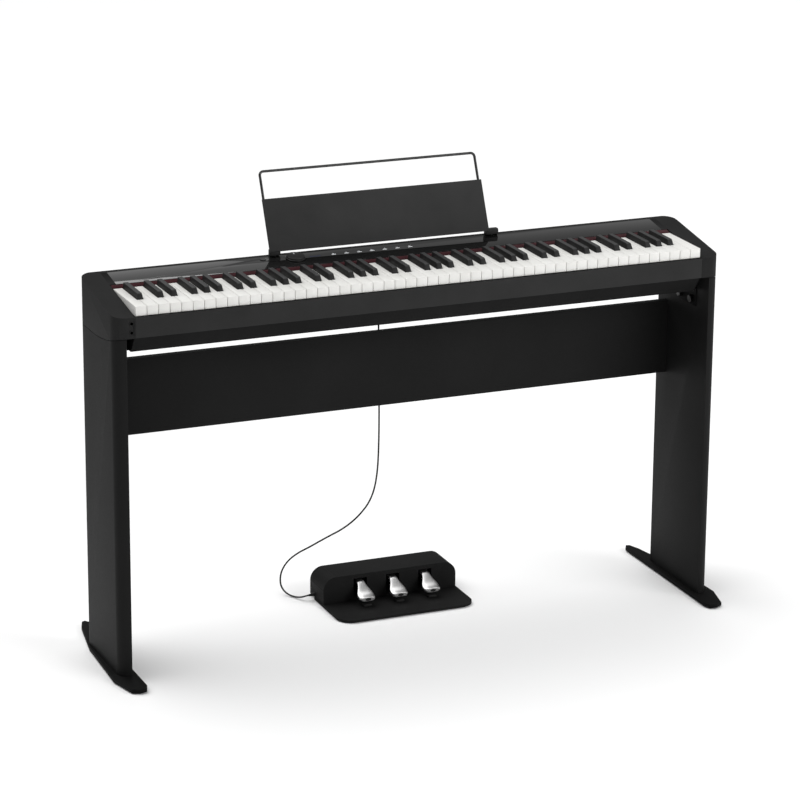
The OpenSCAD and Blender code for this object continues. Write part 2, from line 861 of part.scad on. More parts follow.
// The cord's centre line, from the gland on the pedal unit up to the plug.
route = [
  [-142, 162, 12], [-148, 163, 11], [-154, 168, 8], [-159, 176, 5], [-164, 186, 3],
  [-170, 197, 3], [-176, 206, 6], [-181, 213, 12], [-184, 219, 21], [-184, 223, 33],
  [-181, 224, 48], [-174, 219, 66], [-164, 209, 83], [-150, 197, 98], [-132, 184, 112],
  [-112, 174, 126], [-92, 165, 139], [-72, 156, 152], [-53, 146, 169], [-36, 136, 190],
  [-21, 127, 216], [-12, 119, 248], [-8, 113, 288], [-7, 109, 335], [-7, 107, 400],
  [-8, 106, 470], [-9, 105.5, 540], [-10, 105.5, 610], [-10, 105.5, 650], [-10, 105.5, 680]
];
cord_sides = 8;
rings_per_leg = 2;

function unit(v) = v / norm(v);
function blend(a, b, t) = a * (1 - t) + b * t;
// A point on a smooth curve through the route.
function spline(p, i, t) =
  let (
    a = p[max(i - 1, 0)], b = p[i], c = p[i + 1], d = p[min(i + 2, len(p) - 1)],
    m0 = (c - a) / 2, m1 = (d - b) / 2
  )
  b * (2 * t * t * t - 3 * t * t + 1) + m0 * (t * t * t - 2 * t * t + t)
  + c * (-2 * t * t * t + 3 * t * t) + m1 * (t * t * t - t * t);
cord_path = concat(
  [for (i = [0 : len(route) - 2], s = [0 : rings_per_leg - 1]) spline(route, i, s / rings_per_leg)],
  [route[len(route) - 1]]
);
function cord_dir(i) =
  unit(cord_path[min(i + 1, len(cord_path) - 1)] - cord_path[max(i - 1, 0)]);
side_axis = unit([1, 1, 0.2]);
function ring(i) =
  let (
    d = cord_dir(i), u = unit(cross(d, side_axis)), v = cross(d, u)
  )
  [for (s = [0 : cord_sides - 1])
    let (a = 360 * s / cord_sides)
    cord_path[i] + cord_d / 2 * (cos(a) * u + sin(a) * v)];

module pedal_cord() {
  n = len(cord_path);
  points = [for (i = [0 : n - 1]) each ring(i)];
  sides = [for (i = [0 : n - 2], s = [0 : cord_sides - 1])
    let (s2 = (s + 1) % cord_sides, a = i * cord_sides, b = a + cord_sides)
    [a + s, a + s2, b + s2, b + s]];
  caps = [
    [for (s = [0 : cord_sides - 1]) cord_sides - 1 - s],
    [for (s = [0 : cord_sides - 1]) (n - 1) * cord_sides + s]
  ];
  color([0.05, 0.05, 0.05]) polyhedron(points, concat(sides, caps));
}

// ---------------------------------------------------------------- nodes

cheek_left();
cheek_right();
lower_case();
top_shell();
control_panel();
front_rail();
key_felt();
key_bed();
stop_felt();
hinge_rail();
hinge_rod();
key_set(0);  // keys_a
key_set(1);  // keys_a_sharp
key_set(2);  // keys_b
key_set(3);  // keys_c
key_set(4);  // keys_c_sharp
key_set(5);  // keys_d
key_set(6);  // keys_d_sharp
key_set(7);  // keys_e
key_set(8);  // keys_f
key_set(9);  // keys_f_sharp
key_set(10);  // keys_g
key_set(11);  // keys_g_sharp
volume_knob();
knob_encoder();
power_button();
touch_icons();
status_lamp();
main_board();
speaker(-1);  // speaker_left
speaker(1);  // speaker_right
headphone_jacks();
jack_plate();
rear_jacks();
rest_plate();
rest_wire();
rest_feet();
leg(true);  // leg_left
leg(false);  // leg_right
foot(true);  // foot_left
foot(false);  // foot_right
rear_board();
bracket(true);  // bracket_left
bracket(false);  // bracket_right
stand_screws();
foot_pads();
pedal_base();
pedal_hood();
pedal(0);  // pedal_soft
pedal(1);  // pedal_middle
pedal(2);  // pedal_damper
pedal_axle();
pedal_bracket();
pedal_stops();
base_pads();
cord_gland();
pedal_plug();
pedal_cord();
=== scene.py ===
"""Slim digital piano on a two-legged stand, with music rest, triple pedal unit and pedal cord."""

import json
import math

import bmesh
import bpy
from mathutils import Matrix, Vector


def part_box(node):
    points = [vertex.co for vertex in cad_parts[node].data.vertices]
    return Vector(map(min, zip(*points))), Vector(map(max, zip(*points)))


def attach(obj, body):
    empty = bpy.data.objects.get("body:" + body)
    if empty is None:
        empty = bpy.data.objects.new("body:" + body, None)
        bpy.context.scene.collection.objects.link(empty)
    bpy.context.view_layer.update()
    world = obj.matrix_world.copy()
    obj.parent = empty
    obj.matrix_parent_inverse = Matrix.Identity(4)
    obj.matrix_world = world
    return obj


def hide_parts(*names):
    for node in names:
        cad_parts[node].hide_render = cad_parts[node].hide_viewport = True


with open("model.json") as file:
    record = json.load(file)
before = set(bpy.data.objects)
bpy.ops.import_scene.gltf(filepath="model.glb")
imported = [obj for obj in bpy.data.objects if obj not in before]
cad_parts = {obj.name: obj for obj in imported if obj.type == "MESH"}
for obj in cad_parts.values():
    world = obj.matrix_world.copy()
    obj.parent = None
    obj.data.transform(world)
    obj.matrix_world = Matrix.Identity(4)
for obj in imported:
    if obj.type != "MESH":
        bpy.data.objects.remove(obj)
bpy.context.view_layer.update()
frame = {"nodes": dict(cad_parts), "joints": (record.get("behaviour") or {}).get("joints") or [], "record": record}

MM = 0.001
FULL_TURN = 2 * math.pi
X_AXIS, Y_AXIS, Z_AXIS = Vector((1, 0, 0)), Vector((0, 1, 0)), Vector((0, 0, 1))
JOINTS = {joint["name"]: joint for joint in frame["joints"]}
SLOTS = {part["node"]: part["material_slot"] for part in frame["record"]["subparts"]}
BODIES = frame["record"]["behaviour"]["bodies"]
BODY_OF = {node: body for body, nodes in BODIES.items() for node in nodes}


# ---------------------------------------------------------------- camera

CAMERA_PLACE = (-2.5348, -5.9857, 2.5051)
CAMERA_TURN = (0.4020, 0.2992, 0.0085)  # yaw, pitch and roll in radians
CAMERA_LENS = 149.64
CAMERA_SENSOR = 36
CAMERA_SHIFT = (-0.0087, -0.0142)
CAMERA_CLIP = (0.1, 200)


def set_camera():
    yaw, pitch, roll = CAMERA_TURN
    forward = Vector(
        (math.sin(yaw) * math.cos(pitch), math.cos(yaw) * math.cos(pitch), -math.sin(pitch))
    )
    level = Vector((math.cos(yaw), -math.sin(yaw), 0))
    upright = level.cross(forward)
    right = level * math.cos(roll) + upright * math.sin(roll)
    up = upright * math.cos(roll) - level * math.sin(roll)
    data = bpy.data.cameras.new("camera")
    data.sensor_width = CAMERA_SENSOR
    data.lens = CAMERA_LENS
    data.shift_x, data.shift_y = CAMERA_SHIFT
    data.clip_start, data.clip_end = CAMERA_CLIP
    camera = bpy.data.objects.new("camera", data)
    bpy.context.scene.collection.objects.link(camera)
    turn = Matrix((right, up, -forward)).transposed().to_4x4()
    camera.matrix_world = Matrix.Translation(CAMERA_PLACE) @ turn
    bpy.context.scene.camera = camera


# ---------------------------------------------------------------- finishes

COAT_ROUGHNESS = 0.06
NOISE_LOW, NOISE_HIGH = 0.3, 0.7  # the span that most noise values fall in


class Finish:
    """A material whose colour, roughness and relief come from patterns on object coordinates."""

    def __init__(self, name, metallic=0.0, specular=0.5, coat=0.0, sheen=0.0):
        self.material = bpy.data.materials.new(name)
        self.material.use_nodes = True
        self.tree = self.material.node_tree
        self.shader = self.tree.nodes["Principled BSDF"]
        self.shader.inputs["Metallic"].default_value = metallic
        self.shader.inputs["Specular IOR Level"].default_value = specular
        self.shader.inputs["Coat Weight"].default_value = coat
        self.shader.inputs["Coat Roughness"].default_value = COAT_ROUGHNESS
        self.shader.inputs["Sheen Weight"].default_value = sheen
        self.place = self.tree.nodes.new("ShaderNodeTexCoord").outputs["Object"]

    def node(self, kind, **sockets):
        made = self.tree.nodes.new(kind)
        for name, value in sockets.items():
            made.inputs[name.replace("_", " ")].default_value = value
        return made

    def join(self, a, b):
        self.tree.links.new(a, b)

    def stretched(self, stretch):
        if stretch is None:
            return self.place
        mapping = self.node("ShaderNodeMapping", Scale=stretch)
        self.join(self.place, mapping.inputs["Vector"])
        return mapping.outputs["Vector"]

    def clouds(self, size, detail=4.0, stretch=None):
        """Noise whose blotches are about size metres across."""
        noise = self.node("ShaderNodeTexNoise", Scale=1 / size, Detail=detail)
        self.join(self.stretched(stretch), noise.inputs["Vector"])
        return noise.outputs["Fac"]

    def pebbles(self, size, stretch=None):
        """Rounded grains about size metres across."""
        cells = self.node("ShaderNodeTexVoronoi", Scale=1 / size)
        self.join(self.stretched(stretch), cells.inputs["Vector"])
        return cells.outputs["Distance"]

    def painted_top_light(self):
        """One on level tops, nought on upright sides and less than that underneath: the mask for light painted
        onto tops.
        """
        parts = self.node("ShaderNodeSeparateXYZ")
        normal = self.tree.nodes.new("ShaderNodeTexCoord").outputs["Normal"]
        self.join(normal, parts.inputs["Vector"])
        return parts.outputs["Z"]

    def blend(self, a, b, share=0.5):
        """Mixes two patterns, with the share given to the second."""
        mix = self.node("ShaderNodeMix")
        mix.inputs["Factor"].default_value = share
        self.join(a, mix.inputs["A"])
        self.join(b, mix.inputs["B"])
        return mix.outputs["Result"]

    def tint(self, pattern, *tones):
        """Colours the surface along a ramp of (position, colour) tones."""
        ramp = self.node("ShaderNodeValToRGB")
        stops = ramp.color_ramp.elements
        while len(stops) < len(tones):
            stops.new(0.5)
        for stop, (at, colour) in zip(stops, tones):
            stop.position = at
            stop.color = (*colour, 1.0)
        self.join(pattern, ramp.inputs["Fac"])
        self.join(ramp.outputs["Color"], self.shader.inputs["Base Color"])
        return self

    def dull(self, pattern, least, most):
        """Spreads the roughness from least to most along a pattern."""
        spread = self.node(
            "ShaderNodeMapRange",
            To_Min=least, To_Max=most, From_Min=NOISE_LOW, From_Max=NOISE_HIGH,
        )
        self.join(pattern, spread.inputs["Value"])
        self.join(spread.outputs["Result"], self.shader.inputs["Roughness"])
        return self

    def relief(self, pattern, depth, strength=1.0):
        """Bumps the surface along a pattern, depth metres high."""
        bump = self.node("ShaderNodeBump", Distance=depth, Strength=strength)
        self.join(pattern, bump.inputs["Height"])
        self.join(bump.outputs["Normal"], self.shader.inputs["Normal"])
        return self


def grey(value, warm=0.0):
    """A grey tone, tinted towards red when warm is above nought."""
    return (value * (1 + warm), value, value * (1 - warm))


def moulded_plastic(name, tone, grain, least, most, specular):
    """Spark-grained black plastic, a little uneven in tone."""
    finish = Finish(name, specular=specular)
    drift = finish.clouds(0.09, 3.0)
    fine = finish.blend(finish.pebbles(grain), finish.clouds(grain * 2.5, 5.0))
    tone_at = finish.blend(drift, fine, 0.35)
    finish.tint(tone_at, (0.25, grey(tone * 0.8)), (0.75, grey(tone * 1.2)))
    return finish.dull(fine, least, most).relief(fine, grain * 0.12, 0.6).material


def gloss_acrylic(name):
    """Polished black panel with faint smears."""
    finish = Finish(name, specular=0.55, coat=0.2)
    smears = finish.clouds(0.05, 6.0, (0.6, 1.6, 1))
    finish.tint(finish.clouds(0.2, 3.0), (0.3, grey(0.004)), (0.7, grey(0.007)))
    ripple = finish.clouds(0.03, 2.0)
    return finish.dull(smears, 0.035, 0.075).relief(ripple, 0.00002, 0.25).material


def woven_felt(name, dark, light):
    finish = Finish(name, specular=0.1, sheen=0.1)
    fibres = finish.clouds(0.0006, 8.0, (1.0, 0.35, 1.0))
    tufts = finish.blend(fibres, finish.clouds(0.004, 4.0), 0.4)
    finish.tint(tufts, (0.3, dark), (0.7, light))
    return finish.dull(fibres, 0.85, 1.0).relief(tufts, 0.0004, 0.9).material


def key_resin(name):
    """Off-white key tops with a faint ivory-like grain along each key."""
    finish = Finish(name, specular=0.45)
    lines = finish.clouds(0.0009, 5.0, (1.0, 0.05, 0.4))
    haze = finish.clouds(0.06, 3.0)
    tone_at = finish.blend(haze, lines, 0.3)
    finish.tint(tone_at, (0.25, (0.70, 0.695, 0.665)), (0.75, (0.78, 0.775, 0.755)))
    return finish.dull(lines, 0.27, 0.42).relief(lines, 0.00003, 0.5).material


def ebony_resin(name):
    """Charcoal key caps: grained tops painted a shade lighter than the smooth sides, painted top light."""
    finish = Finish(name, specular=0.3)
    lines = finish.clouds(0.0007, 6.0, (1.0, 0.08, 0.5))
    pores = finish.blend(lines, finish.pebbles(0.0008, (1.0, 0.3, 1.0)), 0.4)
    # painted top light: the ramp turns level tops a lighter, cooler grey than the sides
    tone = finish.blend(pores, finish.painted_top_light(), 0.75)
    finish.tint(tone, (0.2, grey(0.005)), (0.6, grey(0.008)), (0.95, grey(0.03, -0.02)))
    return finish.dull(pores, 0.42, 0.6).relief(pores, 0.00008, 0.7).material


def black_laminate(name, tone, specular):
    """Board covered in embossed black foil, its grain running level."""
    finish = Finish(name, specular=specular)
    veins = finish.clouds(0.0016, 6.0, (0.12, 0.5, 1.0))
    pores = finish.blend(veins, finish.pebbles(0.0011, (0.3, 0.6, 1.0)), 0.35)
    drift = finish.clouds(0.25, 3.0)
    tone_at = finish.blend(drift, pores, 0.4)
    finish.tint(tone_at, (0.25, grey(tone * 0.75)), (0.75, grey(tone * 1.25)))
    return finish.dull(pores, 0.42, 0.58).relief(pores, 0.0001, 0.6).material


def powder_coat(name, tone, least=0.5, most=0.68, specular=0.35):
    finish = Finish(name, specular=specular)
    peel = finish.blend(finish.clouds(0.0012, 4.0), finish.pebbles(0.0009), 0.3)
    tone_at = finish.blend(finish.clouds(0.05), peel, 0.3)
    finish.tint(tone_at, (0.3, grey(tone * 0.8)), (0.7, grey(tone * 1.25)))
    return finish.dull(peel, least, most).relief(peel, 0.00008, 0.5).material


def satin_metal(name, tone, least, most, stretch):
    finish = Finish(name, metallic=1.0)
    brushed = finish.clouds(0.0005, 4.0, stretch)
    film = finish.clouds(0.02, 4.0)
    tone_at = finish.blend(film, brushed, 0.4)
    finish.tint(tone_at, (0.25, grey(tone * 0.88)), (0.75, grey(tone * 1.06, 0.008)))
    worn = finish.blend(brushed, film, 0.4)
    return finish.dull(worn, least, most).relief(brushed, 0.00002, 0.5).material


def soft_rubber(name, tone):
    finish = Finish(name, specular=0.3)
    bloom = finish.clouds(0.012, 6.0)
    skin = finish.clouds(0.0008, 4.0)
    finish.tint(finish.blend(bloom, skin, 0.3), (0.3, grey(tone * 0.75)), (0.7, grey(tone * 1.4)))
    return finish.dull(bloom, 0.55, 0.8).relief(skin, 0.00006, 0.6).material


def circuit_board(name):
    finish = Finish(name, specular=0.5)
    tracks = finish.node("ShaderNodeTexBrick", Scale=120.0, Mortar_Size=0.06)
    finish.join(finish.place, tracks.inputs["Vector"])
    blur = finish.clouds(0.004, 2.0)
    lined = finish.blend(tracks.outputs["Fac"], blur, 0.3)
    finish.tint(lined, (0.2, (0.012, 0.07, 0.03)), (0.8, (0.05, 0.2, 0.09)))
    return finish.dull(blur, 0.25, 0.45).relief(lined, 0.00004, 0.6).material


def printed_ink(name, tone, glow=0.0):
    finish = Finish(name, specular=0.3)
    screen = finish.clouds(0.0004, 3.0)
    finish.tint(screen, (0.3, tuple(c * 0.85 for c in tone)), (0.7, tone))
    # glow makes the ink give off light of its own, painted light
    finish.shader.inputs["Emission Color"].default_value = (*tone, 1)
    finish.shader.inputs["Emission Strength"].default_value = glow
    return finish.dull(screen, 0.4, 0.6).relief(screen, 0.00001, 0.3).material


def make_finishes():
    return {
        "case_black": moulded_plastic("case_black", 0.019, 0.0007, 0.46, 0.58, 0.02),
        "belly_black": moulded_plastic("belly_black", 0.010, 0.0009, 0.55, 0.7, 0.03),
        "rail_black": moulded_plastic("rail_black", 0.025, 0.0006, 0.46, 0.58, 0.05),
        "gloss_panel": gloss_acrylic("gloss_panel"),
        "red_felt": woven_felt("red_felt", (0.014, 0.0006, 0.002), (0.05, 0.003, 0.007)),
        "green_felt": woven_felt("green_felt", (0.03, 0.09, 0.04), (0.07, 0.18, 0.09)),
        "chassis_grey": satin_metal("chassis_grey", 0.42, 0.38, 0.55, (0.2, 1.0, 1.0)),
        "bright_steel": satin_metal("bright_steel", 0.6, 0.2, 0.32, (0.05, 1.0, 1.0)),
        "white_key": key_resin("white_key"),
        "black_key": ebony_resin("black_key"),
        "control_black": moulded_plastic("control_black", 0.009, 0.0005, 0.34, 0.46, 0.45),
        # the white print glows faintly, painted light; the knob pointer shares this finish
        "icon_white": printed_ink("icon_white", (0.8, 0.82, 0.84), 0.2),
        "lamp_blue": printed_ink("lamp_blue", (0.015, 0.02, 0.055)),
        "board_green": circuit_board("board_green"),
        "speaker_black": powder_coat("speaker_black", 0.03),
        "jack_metal": moulded_plastic("jack_metal", 0.016, 0.0004, 0.3, 0.42, 0.1),
        "rest_black": moulded_plastic("rest_black", 0.034, 0.0006, 0.5, 0.62, 0.08),
        "wire_black": powder_coat("wire_black", 0.008, 0.3, 0.42, 0.5),
        "rubber_black": soft_rubber("rubber_black", 0.012),
        "stand_black": black_laminate("stand_black", 0.0135, 0.03),
        "steel_black": powder_coat("steel_black", 0.006, 0.5, 0.66, 0.04),
        "screw_dark": satin_metal("screw_dark", 0.05, 0.28, 0.42, (1.0, 1.0, 0.2)),
        "pedal_case": moulded_plastic("pedal_case", 0.013, 0.0010, 0.5, 0.66, 0.03),
        "pedal_metal": satin_metal("pedal_metal", 0.6, 0.28, 0.4, (1.0, 0.08, 1.0)),
        "plug_black": soft_rubber("plug_black", 0.008),
        "cord_black": soft_rubber("cord_black", 0.010),
    }


# ---------------------------------------------------------------- piece helpers

MERGE_GAP = 0.002 * MM
FLAT_DEGREES = 0.5
EDGE_TO_EASE = 2.2  # edges shorter than this many widths stay sharp
TURNED_GAP = 0.001 * MM


def link_piece(name, mesh, node, stands_for=()):
    """A finished mesh becomes a piece on the node's body, in the node's own finish."""
    piece = bpy.data.objects.new(name, mesh)
    bpy.context.scene.collection.objects.link(piece)
    mesh.materials.clear()
    mesh.materials.append(FINISHES[SLOTS[node]])
    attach(piece, BODY_OF[node])
    if stands_for:
        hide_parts(*stands_for)
    return piece


def refinish(piece, slot):
    """Gives a piece another finish than its node's own."""
    piece.data.materials[0] = FINISHES[slot]


def close_piece(name, bm, node, stands_for=(), crease=38, outward=True):
    """Ends a shape and links it; edges folded by more than crease degrees stay sharp."""
    if outward:
        bmesh.ops.recalc_face_normals(bm, faces=bm.faces)
    mesh = bpy.data.meshes.new(name)
    bm.to_mesh(mesh)
    bm.free()
    mesh.shade_smooth()
    mesh.set_sharp_from_angle(angle=math.radians(crease))
    return link_piece(name, mesh, node, stands_for)


def merged_copy(node):
    """The node's shape with its loose triangles merged back into whole faces."""
    bm = bmesh.new()
    bm.from_mesh(frame["nodes"][node].data)
    bmesh.ops.remove_doubles(bm, verts=bm.verts, dist=MERGE_GAP)
    bmesh.ops.dissolve_limit(
        bm, angle_limit=math.radians(FLAT_DEGREES), verts=bm.verts, edges=bm.edges, delimit=set()
    )
    return bm


def bevel_edges(bm, edges, width, segments):
    bmesh.ops.bevel(
        bm, geom=edges, offset=width, offset_type="OFFSET", segments=segments,
        profile=0.5, affect="EDGES", clamp_overlap=True, material=-1,
    )


def ease_edges(bm, width, fold, wanted):
    """Rounds the outer edges folded by more than fold degrees that wanted picks."""
    edges = [
        e for e in bm.edges
        if len(e.link_faces) == 2 and e.is_convex
        and e.calc_face_angle(0) > math.radians(fold)
        and e.calc_length() > EDGE_TO_EASE * width
        and (wanted is None or wanted(e))
    ]
    bevel_edges(bm, edges, width, 3)


def eased(node, width, fold=28, wanted=None):
    """Stands for a CAD node with the same shape and eased edges."""
    bm = merged_copy(node)
    ease_edges(bm, width, fold, wanted)
    close_piece(node + "_eased", bm, node, (node,), outward=False)


def turned(bm, profile, origin, direction, steps=48, unit=MM):
    """Spins (distance along direction, radius) points in mm into a closed round solid."""
    axis = Vector(direction).normalized()
    side = axis.orthogonal().normalized()
    points = [
        bm.verts.new(Vector(origin) + axis * (d * unit) + side * (r * unit)) for d, r in profile
    ]
    edges = [bm.edges.new(pair) for pair in zip(points, points[1:])]
    bmesh.ops.spin(
        bm, geom=points + edges, cent=Vector(origin), axis=axis, angle=FULL_TURN,
        steps=steps, use_merge=True, use_normal_flip=False, use_duplicate=False,
    )
    bmesh.ops.remove_doubles(bm, verts=bm.verts, dist=TURNED_GAP)


def block(bm, low, high, ease=0.0):
    """A box between two corners, its edges eased."""
    low, high = Vector(low), Vector(high)
    made = bmesh.ops.create_cube(bm, size=1.0)
    bmesh.ops.scale(bm, vec=high - low, verts=made["verts"])
    bmesh.ops.translate(bm, vec=(low + high) / 2, verts=made["verts"])
    if ease:
        edges = list({e for v in made["verts"] for e in v.link_edges})
        bevel_edges(bm, edges, ease, 2)


# ---------------------------------------------------------------- pedal cord

CORD_ROUTE = [  # mm, from the pedal unit up to the plug
    (-142, 162, 12), (-148, 163, 11), (-154, 168, 8), (-159, 176, 5), (-164, 186, 3),
    (-170, 197, 3), (-176, 206, 6), (-181, 213, 12), (-184, 219, 21), (-184, 223, 33),
    (-181, 224, 48), (-174, 219, 66), (-164, 209, 83), (-150, 197, 98), (-132, 184, 112),
    (-112, 174, 126), (-92, 165, 139), (-72, 156, 152), (-53, 146, 169), (-36, 136, 190),
    (-21, 127, 216), (-12, 119, 248), (-8, 113, 288), (-7, 109, 335), (-7, 107, 400),
    (-8, 106, 470), (-9, 105.5, 540), (-10, 105.5, 610), (-10, 105.5, 650), (-10, 105.5, 680),
]
CORD_WIDTH = 3.6 * MM
JACK_CENTRE_DOWN = 4.55 * MM  # from the top of the rear sockets to their centre
PIN_LENGTH = 13 * MM


def lay_cord(with_pieces):
    """The free cord, a round curve through the route's points."""
    points = [Vector(p) * MM for p in CORD_ROUTE]
    line = bpy.data.curves.new("pedal_cord_line", "CURVE")
    line.dimensions = "3D"
    line.resolution_u = 6
    line.bevel_depth = CORD_WIDTH / 2
    line.bevel_resolution = 4
    line.use_fill_caps = True
    spline = line.splines.new("BEZIER")
    spline.bezier_points.add(len(points) - 1)
    last = len(points) - 1
    for i, (knot, at) in enumerate(zip(spline.bezier_points, points)):
        slope = (points[min(i + 1, last)] - points[max(i - 1, 0)]) / 6
        knot.co = at
        knot.handle_left_type = knot.handle_right_type = "FREE"
        knot.handle_left, knot.handle_right = at - slope, at + slope
    piece = bpy.data.objects.new("pedal_cord_lead", line)
    bpy.context.scene.collection.objects.link(piece)
    line.materials.append(FINISHES["cord_black"])
    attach(piece, BODY_OF["pedal_cord"])
    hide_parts("pedal_cord")


def make_cord_plug():
    """Right-angle plug: pin, round body and a ribbed sleeve that tapers down to the cord."""
    end = Vector(CORD_ROUTE[-1]) * MM
    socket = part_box("rear_jacks")[1]
    bm = bmesh.new()
    turned(bm, [
        (0, 0), (0, 2.2), (1.5, 3.1), (11, 3.1), (13, 3.1),
        (13, 5.2), (13.8, 6), (27, 6), (28, 5.2), (28, 0),
    ], (end.x, socket.y - PIN_LENGTH, socket.z - JACK_CENTRE_DOWN), Y_AXIS)
    profile = [(0, 0), (0, 2.6)]
    for i in range(6):
        at, r = 1 + 3.2 * i, 3.0 + 0.22 * i
        profile += [(at, r), (at + 1.8, r + 0.1), (at + 2.0, r - 0.45), (at + 3.0, r - 0.4)]
    profile += [(20.5, 4.4), (30, 4.8), (30, 0)]
    turned(bm, profile, end, Z_AXIS, 32)
    return close_piece("pedal_plug_moulding", bm, "pedal_plug", ("pedal_plug",))


def make_cord_gland():
    """Ribbed sleeve where the cord leaves the pedal unit."""
    start = Vector(CORD_ROUTE[0]) * MM
    profile = [(0, 0), (0, 2.4)]
    for i in range(4):
        at, r = 0.5 + 2.4 * i, 2.6 + 0.3 * i
        profile += [(at, r), (at + 1.4, r + 0.1), (at + 1.6, r - 0.35), (at + 2.2, r - 0.3)]
    profile += [(10.5, 4.0), (28, 4.0), (28, 0)]
    bm = bmesh.new()
    turned(bm, profile, start, X_AXIS, 32)
    return close_piece("cord_gland_sleeve", bm, "cord_gland", ("cord_gland",))


# ---------------------------------------------------------------- keyboard

NEAR = 0.2 * MM  # points this close to a face's plane lie on the face


def make_white_keys(node):
    """Eases the edges round the tops and the front faces."""
    low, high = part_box(node)
    top, front = high.z - NEAR, low.y + NEAR

    def wanted(e):
        a, b = (v.co for v in e.verts)
        return (a.z > top and b.z > top) or (a.y < front and b.y < front)

    eased(node, 0.9 * MM, 40, wanted)


def make_black_keys(node):
    """Eases the edges that stand above the white keys."""
    white_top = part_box("keys_c")[1].z

    def wanted(e):
        heights = [v.co.z for v in e.verts]
        return max(heights) > white_top + 1.0 * MM and min(heights) > white_top - NEAR

    eased(node, 0.8 * MM, 14, wanted)


# ---------------------------------------------------------------- controls

def panel_matrix(x, y):
    """Places a flat drawing on the sloping top: X along the case, Y up the slope."""
    pos = Vector(JOINTS["volume_turn"]["pos_m"])
    up = Vector(JOINTS["volume_turn"]["axis"]).normalized()
    slope = -up.y / up.z
    at = Vector((x, y, pos.z + (y - pos.y) * slope))
    along = up.cross(X_AXIS).normalized()
    return Matrix.Translation(at) @ Matrix((X_AXIS, along, up)).transposed().to_4x4()


KNOB_STEPS = 144
KNOB_GRIP = (2.4 * MM, 5.4 * MM)  # heights between which the rim is fluted
KNOB_RIM = 18.4 * MM
FLUTE_DEPTH = 0.014  # share of the radius


def make_knob():
    """Fluted volume knob with a raised pointer line."""
    pos = JOINTS["volume_turn"]["pos_m"]
    bm = bmesh.new()
    turned(bm, [
        (-10, 0), (-10, 3), (0.4, 3), (0.4, 19.4), (0.9, 20), (2.0, 20), (2.5, 18.9),
        (3.4, 18.8), (5.2, 18.6), (6.0, 17.8), (5.8, 16.8), (5.3, 14), (5.2, 0),
    ], (0, 0, 0), Z_AXIS, KNOB_STEPS)
    for v in bm.verts:
        radius = Vector((v.co.x, v.co.y)).length
        if KNOB_GRIP[0] < v.co.z < KNOB_GRIP[1] and radius > KNOB_RIM:
            step = round(math.degrees(math.atan2(v.co.y, v.co.x)) / (360 / KNOB_STEPS))
            v.co.xy *= 1 - FLUTE_DEPTH * (step % 2)
    bmesh.ops.transform(bm, matrix=panel_matrix(pos[0], pos[1]), verts=bm.verts)
    close_piece("volume_knob_turned", bm, "volume_knob", ("volume_knob",), 30)
    bm = bmesh.new()
    block(bm, (-0.45 * MM, 9 * MM, 5.0 * MM), (0.45 * MM, 15.6 * MM, 5.75 * MM), 0.15 * MM)
    bmesh.ops.transform(bm, matrix=panel_matrix(pos[0], pos[1]), verts=bm.verts)
    refinish(close_piece("knob_pointer", bm, "volume_knob"), "icon_white")


BUTTON_RADIUS = 6


def make_power_button():
    """Round push button with a shallow dish."""
    low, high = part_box("power_button")
    x = (low.x + high.x) / 2
    y = high.y - BUTTON_RADIUS * MM
    bm = bmesh.new()
    turned(bm, [
        (-8, 0), (-8, 2.5), (-1.6, 2.5), (-1.6, BUTTON_RADIUS), (0.6, BUTTON_RADIUS),
        (0.95, 5.7), (0.9, 4.8), (0.8, 0),
    ], (0, 0, 0), Z_AXIS, 64)
    bmesh.ops.transform(bm, matrix=panel_matrix(x, y), verts=bm.verts)
    close_piece("power_button_cap", bm, "power_button", ("power_button",))


MARK_COUNT = 7
MARK_WIDTH = 4 * MM  # of the CAD node's own marks
INK_HEIGHT = 0.12


def ring_mark(bm, x, y, outer, inner):
    """A flat ring; radii in mm."""
    turned(bm, [
        (0, outer), (INK_HEIGHT, outer), (INK_HEIGHT, inner), (0, inner), (0, outer),
    ], (x, y, 0), Z_AXIS, 32)


def bar_mark(bm, x, y, w, h):
    block(bm, (x - w / 2, y - h / 2, 0), (x + w / 2, y + h / 2, INK_HEIGHT * MM))


def make_touch_marks():
    """Seven plain marks, each a bar with a ring, strokes or a dash over it."""
    low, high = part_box("touch_icons")
    step = (high.x - low.x - MARK_WIDTH) / (MARK_COUNT - 1)
    first = panel_matrix(low.x + MARK_WIDTH / 2, (low.y + high.y) / 2)
    bm = bmesh.new()
    for i in range(MARK_COUNT):
        x = i * step
        bar_mark(bm, x, 0, 9.5 * MM, 1.9 * MM)
        if i % 3 == 0:
            ring_mark(bm, x, 4.2 * MM, 1.9, 1.2)
        elif i % 3 == 1:
            for j in (-1, 0, 1):
                bar_mark(bm, x + 1.7 * j * MM, 3.6 * MM, 0.8 * MM, (2.4 + j) * MM)
        else:
            bar_mark(bm, x, 3.6 * MM, 3.4 * MM, 1.2 * MM)
    bmesh.ops.transform(bm, matrix=first, verts=bm.verts)
    close_piece("touch_marks", bm, "touch_icons", ("touch_icons",), 30)


# ---------------------------------------------------------------- stand hardware

THUMB_SCREW = [
    (0, 0), (0, 6.6), (1.0, 8), (6.4, 8), (7.2, 7.4), (8, 6.2), (8, 3), (10.4, 3), (10.4, 0),
]
CASE_SCREW = [(0, 0), (0, 3.4), (0.8, 5.2), (2.0, 6), (3.0, 6), (3.0, 3), (6.0, 3), (6.0, 0)]
SCREW_SPACING = 50 * MM
KNURL_RADIUS = 7.9 * MM
KNURL_DEGREES = 5
KNURL_DEPTH = 0.06  # share of the radius


